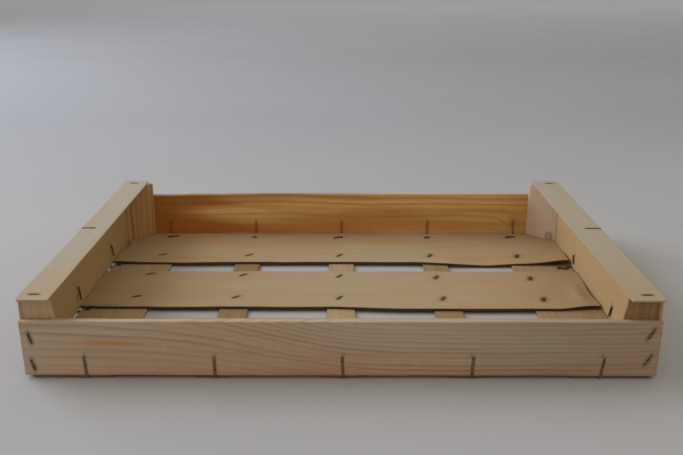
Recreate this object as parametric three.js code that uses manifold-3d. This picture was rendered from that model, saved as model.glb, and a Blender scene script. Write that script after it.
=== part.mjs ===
// A shallow wooden fruit crate: two sawn side boards, two plywood ends, four triangular corner
// posts and two caps over a slatted floor, held together by staples and by clinched corner wires.
// Millimetres. X runs along the crate, Y from front to rear and Z up from the table.
import * as THREE from "three";
import { mergeVertices } from "three/addons/utils/BufferGeometryUtils.js";
import Module from "manifold-3d";

const wasm = await Module();
wasm.setup();

// Footprint
const crateLength = 600; // over the outer faces of the end panels
const crateDepth = 400; // over the outer faces of the side boards

// Wood
const crossThickness = 3;
const crossWidth = 32;
const crossSetback = 1.5; // outer face of a side board to the end of a cross slat
const endCrossWidth = 74;
const endCrossInset = 8; // outer face of the end panel to the outer edge of the end cross slat
const floorThickness = 3;
const outerFloorWidth = 112;
const middleFloorWidth = 104;
const frontSideHeight = 56.5;
const rearSideHeight = 61;
const sideThickness = 7;
const sideSetback = 0.6; // outer face of an end panel to the end of a side board
const panelHeight = 75;
const panelThickness = 6;
const frontPostLeg = 28; // width of a post along either wall
const rearPostLeg = 32;
const postTip = 3; // flat left on each sharp edge of a post
const leftCapWidth = 32;
const rightCapWidth = 34.5;
const capThickness = 3;
const wornCorner = 3; // corner radius of a cap in plan
const sawnCorner = 0.6; // corner radius of every other board in plan
const easedEdge = 0.4; // chamfer along the edges of every board

// Clearances
const seatGap = 0.2; // between two pieces of wood
const wireGap = 0.3; // between a wire and the wood round it
const tableGap = 0.2; // lowest wire above the table

// Wires that tie two boards at a corner
const wireThickness = 1.2;
const wireWidth = 2;
const wireBend = 1.2; // bend radius of the wire's centre line
const wireColumnInset = 23; // inner edge of an end cross slat to the wires that tie it
const frontWireShift = 2.8; // middle front wire to the crate's middle
const frontWireSpread = 1.2; // how much further apart the front wires are than the cross slats
const sideWireHeight = 24; // where the wire enters a side board, above the table
const endWireHeight = 25;
const leftFrontWireOffset = -12; // middle of a floor gap to its end wire, away from the crate's middle
const leftRearWireOffset = 12;
const rightFrontWireOffset = 12;
const rightRearWireOffset = 1;
const sideWireReach = 14; // inner face of a side board to the leg that comes up through the floor
const endWireReach = 9; // outer edge of an end cross slat to the leg that comes up through it
const capWireDrop = 14; // top of a cap to where the wire enters the end panel
const capWireReach = 13; // outer edge of a cap to the leg that goes down through it
const sideWireFold = 8; // length folded over on the floor
const endWireFold = 9;
const capWireFold = 6;
const foldStandoff = 1; // end of a folded wire to the board in front of it

// Staples
const stapleCrown = 11.5;
const stapleLeg = 16;
const stapleThickness = 1;
const stapleWidth = 1.2;
const stapleBend = 0.9;
const capStapleInset = 14; // outer face of the end panel to the middle of the crown
const capStapleSetback = 13; // end of the cap to the crown
const leftStapleInset = 9; // end of a side board to the middle of the crown on its left
const leftStapleRise = 11; // lower edge of a side board to the lower crown on its left
const leftStapleDrop = 17; // upper edge of a side board to the upper crown on its left
const leftStapleLean = 12; // degrees that the crown leans outwards at its top
const rightStapleInset = 10;
const rightStapleRise = 17;
const rightStapleDrop = 12;
const rightStapleLean = 27;
const panelStapleInset = 17; // inner face of a side board to the crown on the end panel
const panelStapleRise = 27; // lower edge of the end panel to the lower crown
const panelStapleDrop = 16; // upper edge of the end panel to the upper crown

// Heights and faces that follow from those sizes
const halfLength = crateLength / 2;
const halfDepth = crateDepth / 2;
const crossLength = crateDepth - 2 * crossSetback;
const floorBottom = crossThickness + seatGap;
const floorTop = floorBottom + floorThickness;
const sideBottom = crossThickness + seatGap;
const panelTop = sideBottom + panelHeight;
const postBottom = floorTop + seatGap;
const capBottom = panelTop + seatGap;
const capTop = capBottom + capThickness;
const panelInside = halfLength - panelThickness;
const floorEnd = panelInside - seatGap;
const sideEnd = halfLength - sideSetback;
const sideInside = halfDepth - sideThickness;
const endCrossInner = halfLength - endCrossInset - endCrossWidth;
const columnPitch = (endCrossInner + wireColumnInset) / 2;
const outerFloorMiddle = sideInside - seatGap - outerFloorWidth / 2;
const floorGapMiddle = (middleFloorWidth / 2 + outerFloorMiddle - outerFloorWidth / 2) / 2;

const quarterTurn = Math.PI / 2;
const halfTurn = Math.PI;
const arcSteps = 1;

const finishes = {
  sidePine: { color: 0xb9966c, roughness: 0.75, metalness: 0 },
  postPine: { color: 0xb98f62, roughness: 0.75, metalness: 0 },
  endPly: { color: 0xc2a67c, roughness: 0.7, metalness: 0 },
  capPly: { color: 0xd0c09c, roughness: 0.7, metalness: 0 },
  crossPine: { color: 0xb8935f, roughness: 0.8, metalness: 0 },
  floorVeneer: { color: 0xc0a983, roughness: 0.65, metalness: 0 },
  steelWire: { color: 0x5b5148, roughness: 0.5, metalness: 0.8 },
};

const crate = new THREE.Group();
const woodPieces = [];
const wirePieces = [];

function addPiece(parent, name, geometry, finish) {
  const piece = new THREE.Mesh(geometry, new THREE.MeshStandardMaterial(finishes[finish]));
  piece.name = name;
  parent.add(piece);
  return piece;
}

function addWood(parent, name, geometry, finish) {
  const piece = addPiece(parent, name, geometry, finish);
  woodPieces.push(piece);
  return piece;
}

// Plan outline of a board, centred on the origin
function boardOutline(length, width, corner) {
  const x = length / 2 - corner;
  const y = width / 2 - corner;
  const outline = new THREE.Shape();
  outline.absarc(x, -y, corner, -quarterTurn, 0);
  outline.absarc(x, y, corner, 0, quarterTurn);
  outline.absarc(-x, y, corner, quarterTurn, halfTurn);
  outline.absarc(-x, -y, corner, halfTurn, halfTurn + quarterTurn);
  outline.closePath();
  return outline;
}

// A board lying flat, from z = 0 up to its thickness, with eased edges
function board(length, width, thickness, corner = sawnCorner) {
  const geometry = new THREE.ExtrudeGeometry(boardOutline(length, width, corner), {
    depth: thickness - 2 * easedEdge,
    bevelThickness: easedEdge,
    bevelSize: easedEdge,
    bevelOffset: -easedEdge,
    bevelSegments: 1,
    curveSegments: 1,
  });
  return geometry.translate(0, 0, easedEdge);
}

// Outline of a wire of even thickness along a bent centre line
function wireOutline(centres, thickness, bend) {
  const half = thickness / 2;
  const bends = centres.slice(1, -1).map((corner, i) => {
    const before = corner.clone().sub(centres[i]).normalize();
    const after = centres[i + 2].clone().sub(corner).normalize();
    const turn = Math.sign(before.cross(after));
    const centre = corner.clone().addScaledVector(before, -bend).addScaledVector(after, bend);
    const from = Math.atan2(before.y, before.x) - turn * quarterTurn;
    return { turn, centre, from, to: from + turn * quarterTurn };
  });
  const offset = (end, along, side) =>
    new THREE.Vector2(end.x - along.y * side, end.y + along.x * side);
  const first = centres[0];
  const last = centres.at(-1);
  const startAlong = centres[1].clone().sub(first).normalize();
  const endAlong = last.clone().sub(centres.at(-2)).normalize();
  const start = offset(first, startAlong, half);
  const end = offset(last, endAlong, half);
  const back = offset(last, endAlong, -half);
  const close = offset(first, startAlong, -half);

  const outline = new THREE.Shape();
  outline.moveTo(close.x, close.y);
  outline.lineTo(start.x, start.y);
  for (const { turn, centre, from, to } of bends) {
    outline.absarc(centre.x, centre.y, bend - turn * half, from, to, turn < 0);
  }
  outline.lineTo(end.x, end.y);
  outline.lineTo(back.x, back.y);
  for (const { turn, centre, from, to } of bends.toReversed()) {
    outline.absarc(centre.x, centre.y, bend + turn * half, to, from, turn > 0);
  }
  outline.closePath();
  return outline;
}

function wireSolid(centres, thickness, width, bend) {
  const geometry = new THREE.ExtrudeGeometry(wireOutline(centres, thickness, bend), {
    depth: width,
    bevelEnabled: false,
    curveSegments: arcSteps,
  });
  return geometry.translate(0, 0, -width / 2);
}

// A wire, and the slot that it takes up in the wood: the same form, larger by the clearance
function addWire(parent, name, centres, thickness, width, bend) {
  const piece = addPiece(parent, name, wireSolid(centres, thickness, width, bend), "steelWire");
  const startAlong = centres[1].clone().sub(centres[0]).normalize();
  const endAlong = centres.at(-1).clone().sub(centres.at(-2)).normalize();
  const longer = centres.map((point) => point.clone());
  longer[0].addScaledVector(startAlong, -wireGap);
  longer.at(-1).addScaledVector(endAlong, wireGap);
  const slot = wireSolid(longer, thickness + 2 * wireGap, width + 2 * wireGap, bend);
  wirePieces.push({ piece, slot });
  return piece;
}

// A corner wire in a plane: x runs inwards from the wall's outer face and y inwards from the
// slat's. It goes through the wall, along both outer faces and up through the slat, and both
// ends are folded over inside.
function cornerWire({ wall, wallLeg, wallFoldEnd, slat, slatRun, slatLeg, slatFold }) {
  const lie = wireGap + wireThickness / 2;
  return [
    new THREE.Vector2(wall + lie, wallFoldEnd),
    new THREE.Vector2(wall + lie, wallLeg),
    new THREE.Vector2(0, wallLeg),
    new THREE.Vector2(0, slatRun),
    new THREE.Vector2(slatLeg, slatRun),
    new THREE.Vector2(slatLeg, slat + lie),
    new THREE.Vector2(slatLeg - slatFold, slat + lie),
  ];
}

function addCornerWire(parent, name, form) {
  return addWire(parent, name, cornerWire(form), wireThickness, wireWidth, wireBend);
}

// A staple in a plane: the crown lies along x, half sunk in the face at y = 0, and the legs go
// into y.
function addStaple(parent, name) {
  const half = stapleCrown / 2;
  const centres = [
    new THREE.Vector2(-half, stapleLeg),
    new THREE.Vector2(-half, 0),
    new THREE.Vector2(half, 0),
    new THREE.Vector2(half, stapleLeg),
  ];
  return addWire(parent, name, centres, stapleThickness, stapleWidth, stapleBend);
}

// Places along the crate, named from left to right. In a half that is turned round the pitch is
// negative.
function columnPlaces(pitch, shift) {
  const names = ["far_left", "left", "middle", "right", "far_right"];
  return names.map((name, i) => ({ name, x: shift + (i - 2) * pitch }));
}

function addCrossSlats() {
  for (const { name, x } of columnPlaces(columnPitch, 0).slice(1, -1)) {
    const slat = addWood(
      crate,
      `${name}_cross_slat`,
      board(crossWidth, crossLength, crossThickness),
      "crossPine",
    );
    slat.position.x = x;
  }
  for (const [name, way] of [["left", -1], ["right", 1]]) {
    const slat = addWood(
      crate,
      `${name}_end_cross_slat`,
      board(endCrossWidth, crossLength, crossThickness),
      "crossPine",
    );
    slat.position.x = way * (endCrossInner + endCrossWidth / 2);
  }
}

function addFloorSlats() {
  const rows = [
    { name: "front_floor_slat", width: outerFloorWidth, y: -outerFloorMiddle },
    { name: "middle_floor_slat", width: middleFloorWidth, y: 0 },
    { name: "rear_floor_slat", width: outerFloorWidth, y: outerFloorMiddle },
  ];
  for (const { name, width, y } of rows) {
    const slat = addWood(crate, name, board(2 * floorEnd, width, floorThickness), "floorVeneer");
    slat.position.set(0, y, floorBottom);
  }
}

// One long side of the crate, drawn as the front one: its board, wires and staples
function addSide(side, name, height, leftName, rightName, wirePlaces) {
  const wallBoard = addWood(
    side,
    `${name}_side_board`,
    board(2 * sideEnd, height, sideThickness),
    "sidePine",
  );
  wallBoard.rotation.x = quarterTurn;
  wallBoard.position.set(0, -sideInside, sideBottom + height / 2);

  const form = {
    wall: sideThickness,
    wallLeg: sideWireHeight,
    wallFoldEnd: floorTop + foldStandoff,
    slat: floorTop,
    slatRun: tableGap + wireThickness / 2,
    slatLeg: sideThickness + sideWireReach,
    slatFold: sideWireFold,
  };
  for (const { name: wirePlace, x } of wirePlaces) {
    const wire = addCornerWire(side, `${name}_${wirePlace}_side_wire`, form);
    wire.rotation.set(quarterTurn, 0, quarterTurn, "ZXY");
    wire.position.set(x, -halfDepth, 0);
  }

  const sideTop = sideBottom + height;
  const left = { way: -1, inset: leftStapleInset, lean: leftStapleLean };
  const right = { way: 1, inset: rightStapleInset, lean: rightStapleLean };
  const staples = [
    { place: `${leftName}_lower`, z: sideBottom + leftStapleRise, ...left },
    { place: `${leftName}_upper`, z: sideTop - leftStapleDrop, ...left },
    { place: `${rightName}_lower`, z: sideBottom + rightStapleRise, ...right },
    { place: `${rightName}_upper`, z: sideTop - rightStapleDrop, ...right },
  ];
  for (const { place, way, z, inset, lean } of staples) {
    const staple = addStaple(side, `${name}_${place}_side_staple`);
    staple.rotation.y = -quarterTurn + THREE.MathUtils.degToRad(way * lean);
    staple.position.set(way * (sideEnd - inset), -halfDepth, z);
  }
}

// Section of a corner post: a right angle that fits the corner, with its two sharp edges cut off
function postOutline(leg) {
  const outline = new THREE.Shape();
  outline.moveTo(0, 0);
  outline.lineTo(leg, 0);
  outline.lineTo(leg, postTip);
  outline.lineTo(postTip, leg);
  outline.lineTo(0, leg);
  outline.closePath();
  return outline;
}

function addPost(end, name, leg, turn) {
  const geometry = new THREE.ExtrudeGeometry(postOutline(leg), {
    depth: panelTop - postBottom,
    bevelEnabled: false,
  });
  const post = addWood(end, name, geometry, "postPine");
  const way = turn === 0 ? -1 : 1;
  post.rotation.z = turn;
  post.position.set(seatGap - panelInside, way * (sideInside - seatGap), postBottom);
}

// One end of the crate, drawn as the left one: panel between the side boards, posts, cap and what
// fastens them. Each row, near and far, is a corner with its post and the end wire beside it.
function addEnd(end, name, capWidth, nearRow, farRow) {
  const panel = addWood(
    end,
    `${name}_end_panel`,
    board(panelHeight, 2 * (sideInside - seatGap), panelThickness),
    "endPly",
  );
  panel.rotation.y = -quarterTurn;
  panel.position.set(-panelInside, 0, sideBottom + panelHeight / 2);

  addPost(end, `${nearRow.name}_${name}_post`, nearRow.postLeg, 0);
  addPost(end, `${farRow.name}_${name}_post`, farRow.postLeg, -quarterTurn);

  const cap = addWood(
    end,
    `${name}_cap`,
    board(capWidth, crateDepth, capThickness, wornCorner),
    "capPly",
  );
  cap.position.set(capWidth / 2 - halfLength, 0, capBottom);

  for (const [{ name: row, wireOffset }, way] of [[nearRow, -1], [farRow, 1]]) {
    const wire = addCornerWire(end, `${row}_${name}_end_wire`, {
      wall: panelThickness,
      wallLeg: endWireHeight,
      wallFoldEnd: floorTop + foldStandoff,
      slat: crossThickness,
      slatRun: tableGap + wireThickness / 2,
      slatLeg: endCrossInset + endWireReach,
      slatFold: endWireFold,
    });
    wire.rotation.x = quarterTurn;
    wire.position.set(-halfLength, way * (floorGapMiddle + wireOffset), 0);

    const capStaple = addStaple(end, `${row}_${name}_cap_staple`);
    capStaple.rotation.x = -quarterTurn;
    capStaple.position.set(capStapleInset - halfLength, way * (halfDepth - capStapleSetback), capTop);

    const panelStaples = [
      { level: "lower", z: sideBottom + panelStapleRise },
      { level: "upper", z: panelTop - panelStapleDrop },
    ];
    for (const { level, z } of panelStaples) {
      const staple = addStaple(end, `${row}_${name}_${level}_panel_staple`);
      staple.rotation.set(0, -quarterTurn, -quarterTurn, "ZXY");
      staple.position.set(-halfLength, way * (sideInside - panelStapleInset), z);
    }
  }

  const capWire = addCornerWire(end, `${name}_cap_wire`, {
    wall: panelThickness,
    wallLeg: capWireDrop,
    wallFoldEnd: capThickness + wireThickness + 2 * wireGap + foldStandoff,
    slat: capThickness,
    slatRun: 0,
    slatLeg: capWireReach,
    slatFold: capWireFold,
  });
  capWire.rotation.x = -quarterTurn;
  capWire.position.set(-halfLength, 0, capTop);
}

// The far side and the far end are the near ones turned half round the crate's middle.
function addHalf(turn) {
  const half = new THREE.Group();
  half.rotation.z = turn;
  crate.add(half);
  return half;
}

function toSolid(geometry) {
  const bare = geometry.clone();
  bare.deleteAttribute("normal");
  bare.deleteAttribute("uv");
  const merged = mergeVertices(bare);
  const mesh = new wasm.Mesh({
    numProp: 3,
    vertProperties: merged.attributes.position.array,
    triVerts: new Uint32Array(merged.index.array),
  });
  return new wasm.Manifold(mesh);
}

function toGeometry(solid) {
  const mesh = solid.getMesh();
  const geometry = new THREE.BufferGeometry();
  geometry.setAttribute("position", new THREE.BufferAttribute(mesh.vertProperties, 3));
  geometry.setIndex(new THREE.BufferAttribute(mesh.triVerts, 1));
  return geometry;
}

// Takes the slot of every wire that passes through a board out of that board.
function cutSlots() {
  crate.updateMatrixWorld(true);
  const slots = wirePieces.map(({ piece, slot }) => slot.clone().applyMatrix4(piece.matrixWorld));
  slots.forEach((slot) => slot.computeBoundingBox());
  for (const wood of woodPieces) {
    const reach = new THREE.Box3().setFromObject(wood);
    const into = wood.matrixWorld.clone().invert();
    let solid = toSolid(wood.geometry);
    for (const slot of slots.filter(({ boundingBox }) => boundingBox.intersectsBox(reach))) {
      solid = solid.subtract(toSolid(slot.clone().applyMatrix4(into)));
    }
    wood.geometry = toGeometry(solid);
    wood.material.flatShading = true;
  }
}

addCrossSlats();
addFloorSlats();
const frontWires = columnPlaces(columnPitch + frontWireSpread, frontWireShift);
const rearWires = columnPlaces(-columnPitch, 0);
addSide(addHalf(0), "front", frontSideHeight, "left", "right", frontWires);
addSide(addHalf(halfTurn), "rear", rearSideHeight, "right", "left", rearWires);
addEnd(
  addHalf(0),
  "left",
  leftCapWidth,
  { name: "front", postLeg: frontPostLeg, wireOffset: leftFrontWireOffset },
  { name: "rear", postLeg: rearPostLeg, wireOffset: leftRearWireOffset },
);
addEnd(
  addHalf(halfTurn),
  "right",
  rightCapWidth,
  { name: "rear", postLeg: rearPostLeg, wireOffset: rightRearWireOffset },
  { name: "front", postLeg: frontPostLeg, wireOffset: rightFrontWireOffset },
);
cutSlots();

export default crate;
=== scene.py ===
"""A wooden fruit crate: bare boards, thin veneer floor, rusty staples and clinched wires."""

import math
from collections import namedtuple

import bpy
import numpy as np
from bpy.props import FloatProperty, FloatVectorProperty, PointerProperty
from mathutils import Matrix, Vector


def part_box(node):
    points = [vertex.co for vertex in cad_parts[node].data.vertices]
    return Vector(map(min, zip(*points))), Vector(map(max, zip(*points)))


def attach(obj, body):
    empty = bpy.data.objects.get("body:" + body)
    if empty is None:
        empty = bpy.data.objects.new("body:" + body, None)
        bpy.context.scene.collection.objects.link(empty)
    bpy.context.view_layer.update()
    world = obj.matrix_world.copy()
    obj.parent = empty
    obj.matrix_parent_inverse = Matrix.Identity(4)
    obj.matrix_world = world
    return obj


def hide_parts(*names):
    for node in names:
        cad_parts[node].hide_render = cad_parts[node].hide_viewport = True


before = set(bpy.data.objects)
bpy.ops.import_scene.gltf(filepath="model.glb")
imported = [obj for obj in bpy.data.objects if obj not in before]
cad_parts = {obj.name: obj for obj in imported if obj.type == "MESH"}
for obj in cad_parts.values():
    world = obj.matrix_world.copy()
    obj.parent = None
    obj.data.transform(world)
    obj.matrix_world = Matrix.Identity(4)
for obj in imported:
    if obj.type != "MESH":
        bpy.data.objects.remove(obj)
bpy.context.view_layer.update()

bl_info = {
    "name": "Fruit crate",
    "version": (1, 0, 0),
    "blender": (4, 5, 0),
    "location": "3D View > Sidebar > Crate",
    "description": "Dresses a stapled wooden fruit crate in bare wood and rusty wire",
    "category": "Add Mesh",
}

BODY = "root"
X, Y, Z = np.eye(3)
MM = 0.001
SIDES = ("front", "rear")
ENDS = ("left", "right")
FLOOR_ROWS = ("front", "middle", "rear")
COLUMNS = ("far_left", "left", "middle", "right", "far_right")
CROSS_SLATS = [f"{place}_cross_slat" for place in ("left_end", "left", "middle", "right", "right_end")]

# Faces that meet at a larger angle than this keep a sharp edge.
SHARP_ANGLE = math.radians(38)
# Width of a board's rim, and how dark the rim is where no plies show.
RIM_WIDTH = 1.2 * MM
PLAIN_RIM = 0.12
# How far the grain moves on from one board to the next, so that no two look alike.
GRAIN_SHIFT = 0.37
# How far a wire stays inside the outer faces of its solid.
HAIR = 0.05 * MM
# Gap between a cap and what carries it.
CAP_GAP = 0.1 * MM

# Thickness of the wire of a staple's solid, the part of a cap staple's crown that shows, and the length of
# a floor staple's legs.
SOLID_STAPLE_WIRE = 1.2 * MM
CAP_CROWN = 0.82
FLOOR_STAPLE_LEG = 4.5 * MM
# How rusty each finish of the wire is.
RUSTY = {"rusty_wire": 0.8, "brown_wire": 0.8, "stapled_wire": 0.52, "dull_wire": 0.35}
# Length of the folds of the front side wires and of the cap wires.
FRONT_FOLD = 8 * MM
CAP_FOLD = 6 * MM
# How much farther in a wire's leg comes out of the slat or the cap than that of its solid, and how much
# lower an end wire's upper end is.
REAR_LEG_DEEPER = 2.0 * MM
CAP_LEG_DEEPER = {"left": 3.5 * MM, "right": 6.0 * MM}
END_WIRE_DROP = {"left": -4.0 * MM, "right": 4.5 * MM}
# The side wires at each column: lean of the front one and of the rear one, then the rear one's fold on the
# floor (length, turn in degrees, wave) and how far its upper end stands off the board. Millimetres.
SIDE_WIRES = {
    "far_left": (-1.1, 0.6, 14, -85, 1.2, 0),
    "left": (0.0, 0.3, 5, 140, 0, 0),
    "middle": (-1.1, 0.4, 13, 118, 1.5, 1),
    "right": (1.1, 0.8, 8, 130, 0, 3),
    "far_right": (2.6, -0.9, 12, 92, 0.5, 3.5),
}
# The end wires: lean, fold on the slat (length, turn, wave), the upper end's height over the slat and how
# far it stands off the panel, and how much deeper the leg is. Millimetres, and the turn in radians.
END_WIRES = {
    "front_left": (4.5, 3, 0.25, 0, (13, 3), 0),
    "rear_left": (4.0, 3, 0.25, 0, (13, 3), 0),
    "front_right": (-3.0, 9, -0.35, 0, (4, 0.4), 0),
    "rear_right": (4.0, 18, 0.25, 3.2, (8, 0.5), 9),
}

# A wood's colours, then how strong its growth lines, fibres, warm patches, saw marks and plies are.
Wood = namedtuple("Wood", "label early late heart lines streaks patches saw plies", defaults=(0.0, PLAIN_RIM))
TONES = {"early": "pale wood", "late": "growth lines", "heart": "warm patches"}
WOODS = {
    "front": Wood("Front board", (189, 167, 142), (137, 106, 79), (191, 130, 79), 0.55, 0.2, 0.4, 0.05),
    "rear": Wood("Rear board", (226, 182, 114), (142, 91, 38), (173, 107, 35), 0.6, 0.14, 0.6, 0.04),
    "post": Wood("Striped posts", (183, 140, 84), (98, 62, 28), (160, 118, 72), 0.95, 0.15, 0.5, 0.05),
    "pink": Wood("Pink post", (201, 175, 146), (155, 112, 81), (193, 159, 131), 0.4, 0.14, 0.7, 0.05),
    "tan": Wood("Tan post", (186, 161, 126), (151, 120, 84), (176, 144, 105), 0.5, 0.14, 0.6, 0.05),
    "ply": Wood("End panels", (175, 146, 101), (155, 121, 76), (170, 133, 84), 0.35, 0.1, 0.5),
    "cap": Wood("Caps", (165, 155, 135), (148, 133, 109), (167, 143, 108), 0.4, 0.1, 0.45, plies=0.35),
    "floor": Wood("Floor slats", (168, 149, 119), (153, 125, 88), (172, 131, 74), 0.34, 0.1, 0.5),
    "cross": Wood("Cross slats", (174, 147, 111), (142, 110, 74), (150, 112, 70), 0.6, 0.16, 0.5, 0.08),
}


def shade(red, green, blue):
    """A colour as the eye reads it on a screen, 0 to 255, turned into Blender's linear numbers."""
    display = np.array((red, green, blue)) / 255
    linear = np.where(display <= 0.04045, display / 12.92, ((display + 0.055) / 1.055) ** 2.4)
    return (*linear, 1.0)


def colour(name, description, display):
    """A colour that a user can change."""
    return FloatVectorProperty(
        name=name, description=description, subtype="COLOR", size=4, min=0, max=1, default=shade(*display)
    )


def amount(name, description, default, **kind):
    """A number that a user can change."""
    return FloatProperty(name=name, description=description, default=default, **kind)


def length(name, description, millimetres):
    """A length that a user can change."""
    return amount(name, description, millimetres * MM, unit="LENGTH")


def position(name, description, metres):
    """A place that a user can change."""
    return FloatVectorProperty(name=name, description=description, subtype="TRANSLATION", default=metres)


def turning(name, description, degrees):
    """An angle that a user can change."""
    return amount(name, description, math.radians(degrees), subtype="ANGLE")


class CrateSizes(bpy.types.PropertyGroup):
    """Sizes of the surfaces that dress the crate."""

    edge: length("Eased edge", "Radius along the edges of a sawn board", 0.7)
    veneer_edge: length("Veneer edge", "Radius along the edges of a thin board", 0.35)
    cap_corner: length("Worn corner", "Radius of a cap's outer corners, seen from above", 4.5)
    cap_taper: length("Cap taper", "How much narrower the right cap is at its front end", 4.4)
    cap_thin: length("Thin cap", "How much thinner a cap is than its solid, on its underside", 1.2)
    rebate: length("Panel rebate", "How deep a post is let into an end panel", 3.0)
    board_step: length("Board step", "Distance between the points of a board's surface", 2.5)
    floor_step: length("Floor step", "Distance between the points of a floor slat's surface", 2.0)
    sag: length("Veneer sag", "How far a floor slat hangs between two cross slats", 2.6)
    curl: length("Veneer curl", "How far the front corner of a floor slat curls up at its right end", 5.0)
    end_gap: length("Veneer end gap", "How far the middle slat's right end draws back from the panel", 4.0)
    wire_width: length("Wire width", "Width of a corner wire", 3.3)
    wire_thickness: length("Wire thickness", "Thickness of a corner wire", 1.2)
    wire_bend: length("Wire bend", "Bend radius of a corner wire", 1.6)
    staple_width: length("Staple width", "Width of a staple's wire", 2.5)
    staple_thickness: length("Staple thickness", "Thickness of a staple's wire", 1.0)
    staple_bend: length("Staple bend", "Bend radius of a staple", 1.0)
    floor_crown: length("Floor staple crown", "Length of a staple that holds a floor slat", 10.5)
    clearance: length("Wire clearance", "Gap between a wire and the wood that it lies on", 0.3)


class CrateColours(bpy.types.PropertyGroup):
    """Colours of the wire and, from the list of woods, of every wood."""

    rust_stain: colour("Rust stain", "Wood stained by a fastener", (54, 36, 18))
    steel: colour("Steel", "Bare wire", (138, 120, 98))
    rust: colour("Rust", "Rusty wire", (76, 52, 28))
    brown_rust: colour("Brown rust", "Rusty wire on the rear board", (146, 96, 46))

    for kind, wood in WOODS.items():
        for tone, what in TONES.items():
            __annotations__[f"{kind}_{tone}"] = colour(
                f"{wood.label}, {what}", f"Colour of the {what}", getattr(wood, tone)
            )
    del kind, wood, tone, what


class CrateStage(bpy.types.PropertyGroup):
    """Floor, lamp and camera."""

    floor: colour("Floor", "Colour of the floor", (178, 177, 178))
    floor_far: colour("Far floor", "Colour of the floor behind the crate", (164, 165, 169))
    # Painted light: the floor near the horizon is lighter where the lamp doesn't reach.
    floor_farthest_painted_light: colour("Farthest floor", "Colour of the floor near the horizon", (194, 197, 210))
    sky: colour("Sky", "Colour of the light from all round", (203, 198, 186))
    lamp: colour("Lamp", "Colour of the large lamp at the left", (228, 236, 255))
    lamp_power: amount("Lamp power", "Power of the large lamp at the left", 104.0)
    lamp_size: length("Lamp size", "Side of the large lamp", 2560)
    lamp_place: position("Lamp place", "Place of the large lamp", (-2.76, 1.11, 1.65))
    lens: amount("Lens", "Focal length in millimetres on a 36 mm sensor", 41.782)
    eye: position("Eye", "Place of the camera", (0.0032, -0.8635, 0.3845))
    tilt: turning("Tilt", "Angle below the horizon", 19.29)
    heading: turning("Heading", "Turn to the left of the rear side", 0.183)


# Grids and closed skins


def solid_box(node):
    """Lowest and highest corner of one of the crate's solids."""
    low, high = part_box(node)
    return np.array(low), np.array(high)


def solid_middle(node):
    """Middle of one of the crate's solids."""
    return sum(solid_box(node)) / 2


def wire_top(node):
    """Middle of the upper end of one of the crate's wires."""
    return np.array((*solid_middle(node)[:2], solid_box(node)[1][2]))


def rim_samples(size, step, edge, extra=()):
    """Places across a face: even steps inside, and a quarter circle of closer ones at both rims."""
    rim = edge * (1 - np.cos(np.linspace(0, np.pi / 2, 4)))[:-1]
    count = max(3, round((size - 2 * edge) / step) + 1)
    inside = np.linspace(-size / 2 + edge, size / 2 - edge, count)
    return np.unique(np.round(np.concatenate((rim - size / 2, inside, size / 2 - rim, extra)), 7))


def eased_drop(distance, edge):
    """Fall of a rounded edge below its face: a quarter circle over the last stretch before the rim."""
    reach = np.clip(edge - distance, 0, edge)
    return edge - np.sqrt(edge**2 - reach**2)


def bump(value, centre, width):
    """A smooth hill of height 1: a bell curve."""
    return np.exp(-(((value - centre) / width) ** 2))


def step_up(value, low, high):
    """A smooth step from 0 to 1: three times the square less twice the cube."""
    part = np.clip((value - low) / (high - low), 0, 1)
    return part * part * (3 - 2 * part)


def ripple(value, seed, longest, count=5):
    """Gentle unevenness along a line: a sum of sines, each shorter and lower than the one before."""
    chance = np.random.default_rng(seed)
    order = np.arange(1, count + 1)
    waves = order * (0.8 + 0.4 * chance.random(count)) / longest
    starts = chance.random(count) * 2 * np.pi
    angles = 2 * np.pi * np.multiply.outer(value, waves) + starts
    return (np.sin(angles) / order).sum(axis=-1) / count**0.5


def grid_faces(index):
    """Four-sided faces between the neighbours of a grid of point numbers."""
    corners = index[:-1, :-1], index[1:, :-1], index[1:, 1:], index[:-1, 1:]
    return np.stack([corner.ravel() for corner in corners], axis=1)


def tube_faces(rings, around):
    """Faces between closed rings of points, one ring after the other, and the point numbers."""
    index = np.arange(rings * around).reshape(rings, around)
    return grid_faces(np.concatenate((index, index[:, :1]), axis=1)), index


def closed_sheets(upper, lower):
    """Two sheets over one grid, joined by a wall round their rim."""
    rows, columns = upper.shape[:2]
    count = rows * columns
    index = np.arange(count).reshape(rows, columns)
    rim = np.concatenate((index[0, :], index[1:, -1], index[-1, -2::-1], index[-2:0:-1, 0]))
    after = np.roll(rim, -1)
    walls = np.stack((rim, after, after + count, rim + count), axis=1)
    faces = np.concatenate((grid_faces(index), grid_faces(index + count)[:, ::-1], walls))
    return np.concatenate((upper.reshape(-1, 3), lower.reshape(-1, 3))), faces


def make_piece(name, points, faces, material, slot, nodes=(), ends=(), **attributes):
    """Puts points and faces into a mesh object that rides on the crate, with its own attributes."""
    mesh = bpy.data.meshes.new(name)
    mesh.from_pydata(points, [], [*faces.tolist(), *ends])
    for label, values in attributes.items():
        kind, field = ("FLOAT_VECTOR", "vector") if values.ndim == 2 else ("FLOAT", "value")
        layer = mesh.attributes.new(label, kind, "POINT")
        layer.data.foreach_set(field, np.ascontiguousarray(values, dtype=np.float32).ravel())
    mesh.shade_smooth()
    mesh.set_sharp_from_angle(angle=SHARP_ANGLE)
    mesh.materials.append(material)
    mesh.validate()
    piece = bpy.data.objects.new(name, mesh)
    bpy.context.scene.collection.objects.link(piece)
    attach(piece, BODY)
    if nodes:
        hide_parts(*nodes)


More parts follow.
